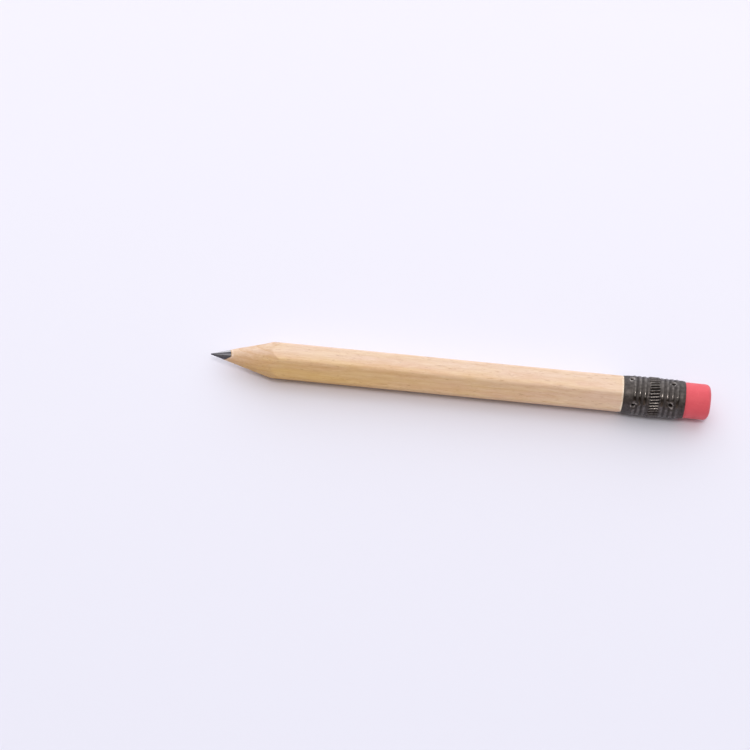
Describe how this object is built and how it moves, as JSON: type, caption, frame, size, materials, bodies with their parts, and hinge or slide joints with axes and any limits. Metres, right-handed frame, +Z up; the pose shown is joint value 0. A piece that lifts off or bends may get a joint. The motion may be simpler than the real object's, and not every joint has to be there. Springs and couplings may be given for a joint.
{
  "type": "graphite pencil",
  "caption": "Short hexagonal wooden pencil with a sharpened graphite point, a dark crimped metal ferrule and a pink eraser.",
  "frame": {"origin": "the tip of the sharpened writing point", "axes": "+X runs along the pencil's axis from the writing point to the eraser, +Z is up with the pencil lying on one of its six flats, so two opposite corners of the barrel point along +Y and -Y"},
  "size_m": [0.1, 0.008, 0.008],
  "materials": {
    "wood": "natural, bare, fine straight grain",
    "graphite": "sharpened, metallic grey sheen",
    "glue": "dried wood glue",
    "ferrule": "black lacquer, semi-gloss",
    "eraser": "matte pink rubber"
  },
  "bodies": {
    "root": {"upper_slat": "wood", "lower_slat": "wood", "glue_film": "glue", "graphite_core": "graphite", "ferrule": "ferrule", "eraser_plug": "eraser"}
  },
  "joints": []
}
